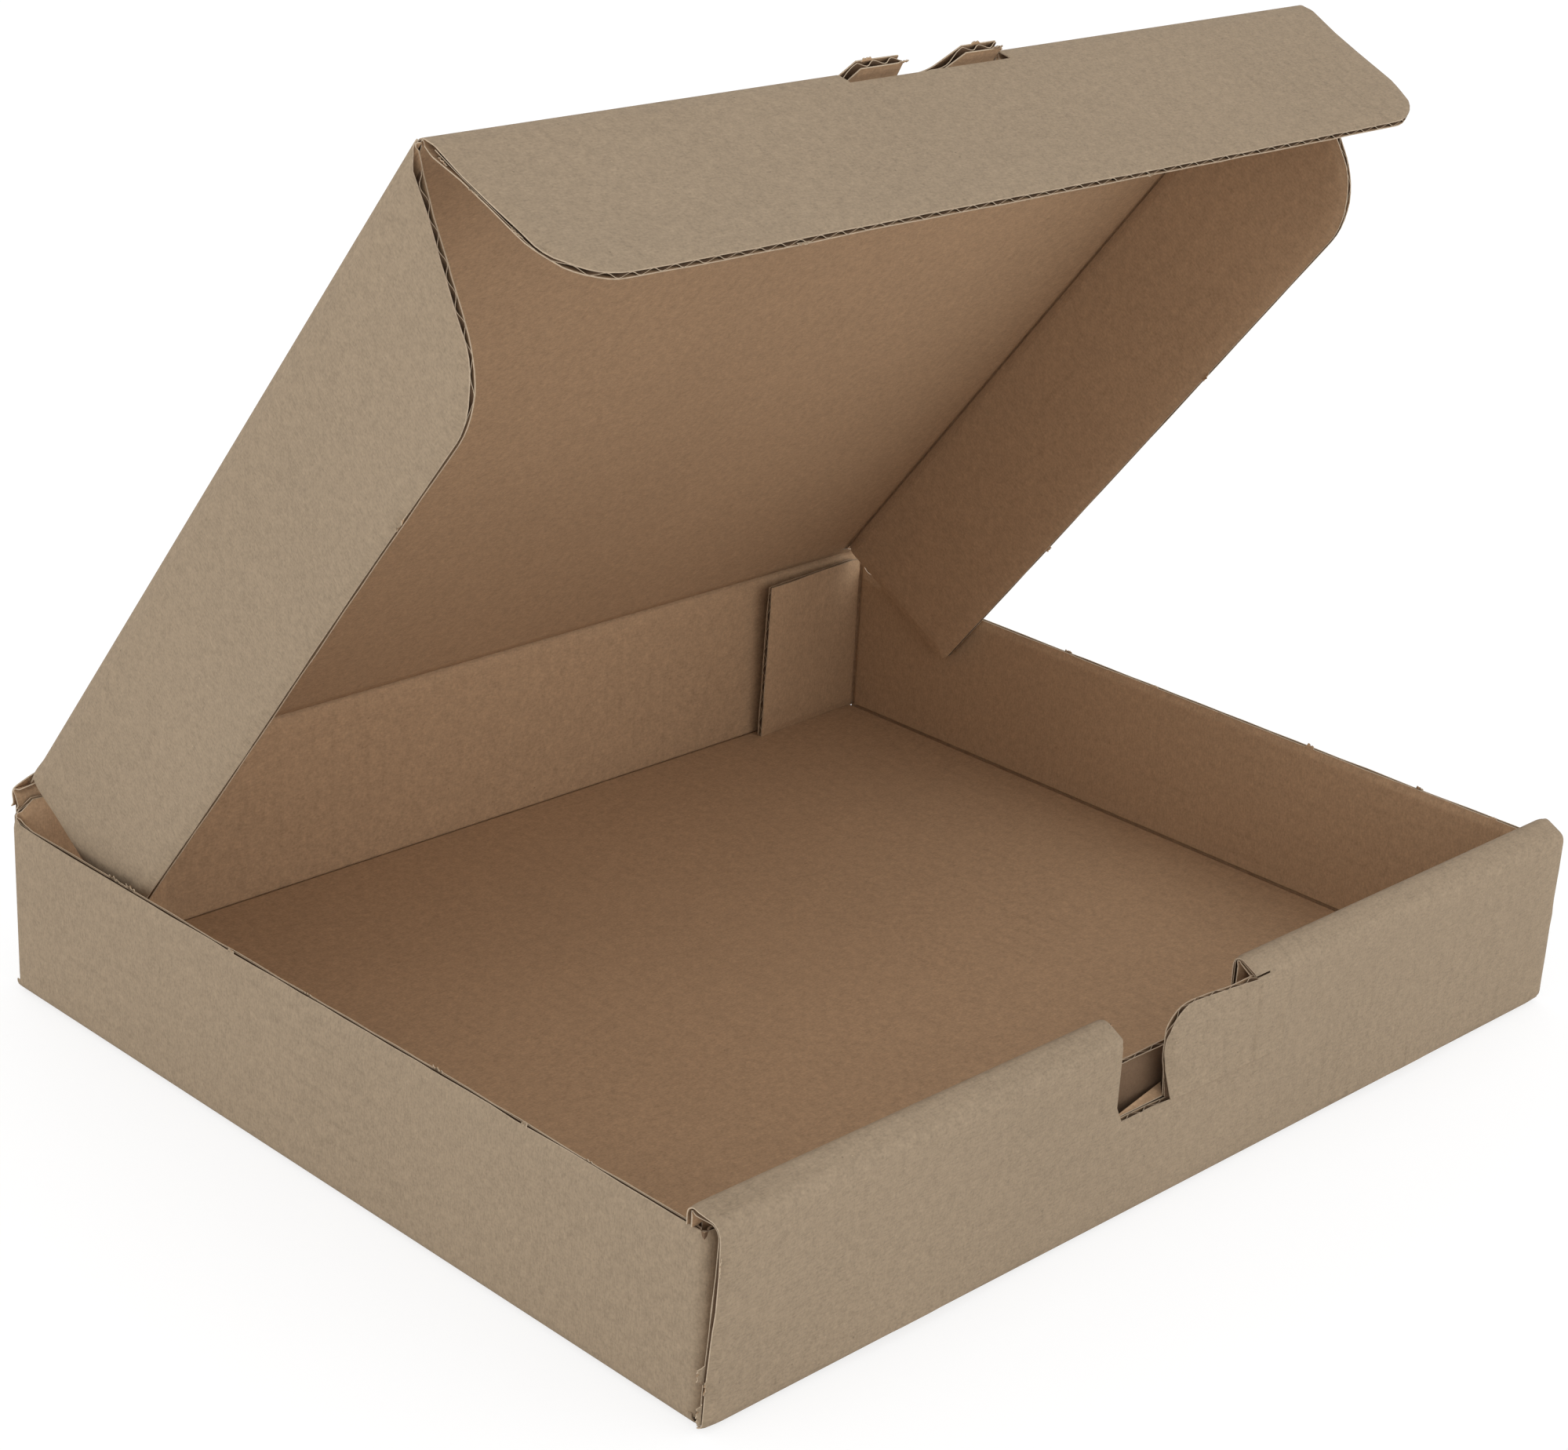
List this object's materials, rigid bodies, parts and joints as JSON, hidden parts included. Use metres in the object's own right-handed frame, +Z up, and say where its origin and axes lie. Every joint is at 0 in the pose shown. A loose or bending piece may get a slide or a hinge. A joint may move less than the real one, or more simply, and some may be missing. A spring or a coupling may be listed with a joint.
{
  "type": "cake box",
  "caption": "Folded brown fluted-board cake box: shallow tray with roll-over front wall and lock opening, hinged lid with side flaps and a tuck flap.",
  "frame": {"origin": "middle of the tray's underside", "axes": "+X to the right along the front, +Y to the rear hinge, +Z up"},
  "size_m": [0.33, 0.28, 0.2692],
  "materials": {
    "tray_board": "matt brown fluted board",
    "lid_board": "matt brown fluted board"
  },
  "bodies": {
    "tray": {"tray": "tray_board"},
    "lid": {"lid": "lid_board"},
    "left_flap": {"lid_left_flap": "lid_board"},
    "right_flap": {"lid_right_flap": "lid_board"},
    "front_flap": {"lid_front_flap": "lid_board"}
  },
  "joints": [
    {"name": "lid_hinge", "type": "hinge", "parent": "tray", "child": "lid", "pos_m": [0, 0.1385, 0.0575], "axis": [-1, 0, 0], "range_deg": [-52, 128]},
    {"name": "left_flap_fold", "type": "hinge", "parent": "lid", "child": "left_flap", "pos_m": [-0.1565, 0.1385, 0.0575], "axis": [0, -0.6157, 0.788], "range_deg": [0, 55]},
    {"name": "right_flap_fold", "type": "hinge", "parent": "lid", "child": "right_flap", "pos_m": [0.1565, 0.1385, 0.0575], "axis": [0, 0.6157, -0.788], "range_deg": [0, 55]},
    {"name": "front_flap_fold", "type": "hinge", "parent": "lid", "child": "front_flap", "pos_m": [0, -0.02403, 0.26553], "axis": [1, 0, 0], "range_deg": [-57.6, 23.4]}
  ],
  "couplings": [
    {"joint": "front_flap_fold", "follows": "lid_hinge", "ratio": -0.45}
  ]
}
